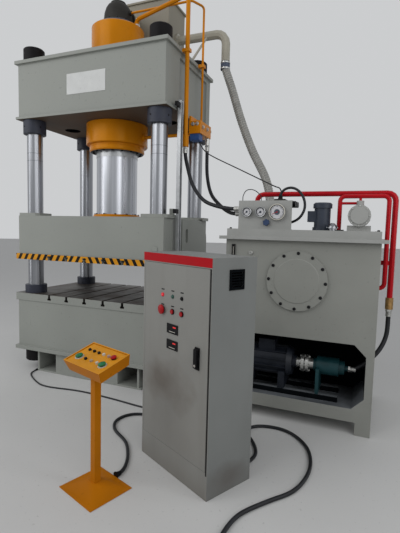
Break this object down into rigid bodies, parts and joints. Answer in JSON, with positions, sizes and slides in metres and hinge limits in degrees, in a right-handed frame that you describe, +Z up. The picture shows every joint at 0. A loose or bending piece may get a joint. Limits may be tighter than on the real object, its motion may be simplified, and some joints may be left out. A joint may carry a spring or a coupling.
{
  "type": "hydraulic press",
  "caption": "Four-column hydraulic press with T-slotted table, sliding crosshead, power unit, electrical cabinet and operator pedestal.",
  "frame": {"origin": "on the floor under the middle of the bed, on the ram's axis", "axes": "+Z up along the ram, -Y out of the press front, +X along the press width towards the power unit"},
  "size_m": [4.244, 3.643, 4.6633],
  "materials": {
    "press_grey": "pale grey-green enamel, semi gloss",
    "table_steel": "machined and oiled, dark",
    "chrome": "hard chrome, ground",
    "cylinder_yellow": "yellow-orange enamel",
    "valve_dark": "blackened",
    "tank_beige": "pale beige enamel",
    "pipe_white": "white enamel",
    "steel_bright": "plated",
    "hose_black": "matte",
    "hose_clear": "milky, reinforced",
    "motor_black": "dark enamel",
    "pump_teal": "teal enamel",
    "return_red": "red gloss enamel",
    "knob_blue": "moulded",
    "cabinet_grey": "fine textured powder coat",
    "plastic_black": "moulded",
    "button_red": "moulded",
    "button_green": "moulded",
    "pedestal_yellow": "yellow-orange enamel"
  },
  "bodies": {
    "frame": {"bed": "press_grey", "bolster_plate": "table_steel", "column_front_left": "chrome", "column_front_right": "chrome", "column_rear_left": "chrome", "column_rear_right": "chrome", "crown": "press_grey", "main_cylinder": "cylinder_yellow", "gland_ring": "cylinder_yellow", "prefill_valve": "valve_dark", "suction_neck": "tank_beige", "fill_tank": "tank_beige", "fill_pipe": "pipe_white", "pressure_pipe": "cylinder_yellow", "port_pipe": "cylinder_yellow", "pilot_pipe": "cylinder_yellow", "valve_block": "cylinder_yellow", "limit_rail": "steel_bright", "fill_hose": "hose_clear", "hose_a": "hose_black", "hose_b": "hose_black", "valve_cable": "hose_black", "oil_tank": "press_grey", "tank_lid": "press_grey", "manhole_cover": "press_grey", "level_gauge": "plastic_black", "gauge_panel": "steel_bright", "valve_manifold": "steel_bright", "pump_motor": "motor_black", "pump": "pump_teal", "cooling_motor": "motor_black", "return_filter": "steel_bright", "return_header": "return_red", "return_branch": "return_red", "solenoid_cable": "hose_black", "pump_hose": "hose_black", "cabinet_body": "cabinet_grey", "fan_grille": "plastic_black", "mounting_plate": "steel_bright", "pedestal_stand": "pedestal_yellow", "console_box": "pedestal_yellow", "pedestal_cable": "hose_black", "press_cable": "hose_black", "mains_cable": "hose_black", "mains_coil": "hose_black"},
    "slide_carriage": {"slide": "press_grey", "slide_base_plate": "press_grey", "ram": "chrome", "ram_flange": "cylinder_yellow"},
    "shutoff_knob": {"shutoff_knob": "knob_blue"},
    "shaft_coupling": {"shaft_coupling": "steel_bright"},
    "filler_cap": {"filler_cap": "chrome"},
    "cabinet_door": {"cabinet_door": "cabinet_grey"},
    "door_lock": {"door_lock": "plastic_black"},
    "emergency_stop": {"emergency_stop": "button_red"},
    "cabinet_button_1": {"cabinet_button_1": "button_red"},
    "cabinet_button_2": {"cabinet_button_2": "button_red"},
    "palm_button_left": {"palm_button_left": "button_green"},
    "palm_button_right": {"palm_button_right": "button_green"},
    "console_stop_button": {"console_stop_button": "button_red"}
  },
  "joints": [
    {"name": "press_slide", "type": "slide", "parent": "frame", "child": "slide_carriage", "axis": [0, 0, 1], "range_m": [-0.12, 0.68]},
    {"name": "door_swing", "type": "hinge", "parent": "frame", "child": "cabinet_door", "pos_m": [1.40296, -1.69753, 0.86], "axis": [0, 0, -1], "range_deg": [0, 40]},
    {"name": "lock_handle", "type": "hinge", "parent": "cabinet_door", "child": "door_lock", "pos_m": [1.96663, -2.00508, 0.9925], "axis": [-0.8868, 0.4621, 0], "range_deg": [0, 35]},
    {"name": "emergency_stop_press", "type": "slide", "parent": "cabinet_door", "child": "emergency_stop", "axis": [0.4621, 0.8868, 0], "range_m": [0, 0.004], "stiffness_N_per_m": 1500, "springref_m": -0.002},
    {"name": "cabinet_1_press", "type": "slide", "parent": "cabinet_door", "child": "cabinet_button_1", "axis": [0.4621, 0.8868, 0], "range_m": [0, 0.004], "stiffness_N_per_m": 1500, "springref_m": -0.002},
    {"name": "cabinet_2_press", "type": "slide", "parent": "cabinet_door", "child": "cabinet_button_2", "axis": [0.4621, 0.8868, 0], "range_m": [0, 0.004], "stiffness_N_per_m": 1500, "springref_m": -0.002},
    {"name": "palm_left_press", "type": "slide", "parent": "frame", "child": "palm_button_left", "axis": [0.0952, 0.2765, -0.9563], "range_m": [0, 0.005], "stiffness_N_per_m": 1500, "springref_m": -0.002},
    {"name": "palm_right_press", "type": "slide", "parent": "frame", "child": "palm_button_right", "axis": [0.0952, 0.2765, -0.9563], "range_m": [0, 0.005], "stiffness_N_per_m": 1500, "springref_m": -0.002},
    {"name": "console_stop_press", "type": "slide", "parent": "frame", "child": "console_stop_button", "axis": [0.0952, 0.2765, -0.9563], "range_m": [0, 0.005], "stiffness_N_per_m": 1500, "springref_m": -0.002},
    {"name": "knob_turn", "type": "hinge", "parent": "frame", "child": "shutoff_knob", "pos_m": [2.073, -0.6, 1.863], "axis": [0, -1, 0], "range_deg": [0, 360]},
    {"name": "cap_twist", "type": "hinge", "parent": "frame", "child": "filler_cap", "pos_m": [2.665, -0.564, 1.82], "axis": [0, 0, 1], "range_deg": [0, 45]},
    {"name": "shaft_spin", "type": "hinge", "parent": "frame", "child": "shaft_coupling", "pos_m": [2.3923, -0.45, 0.52], "axis": [1, 0, 0], "continuous": true}
  ]
}
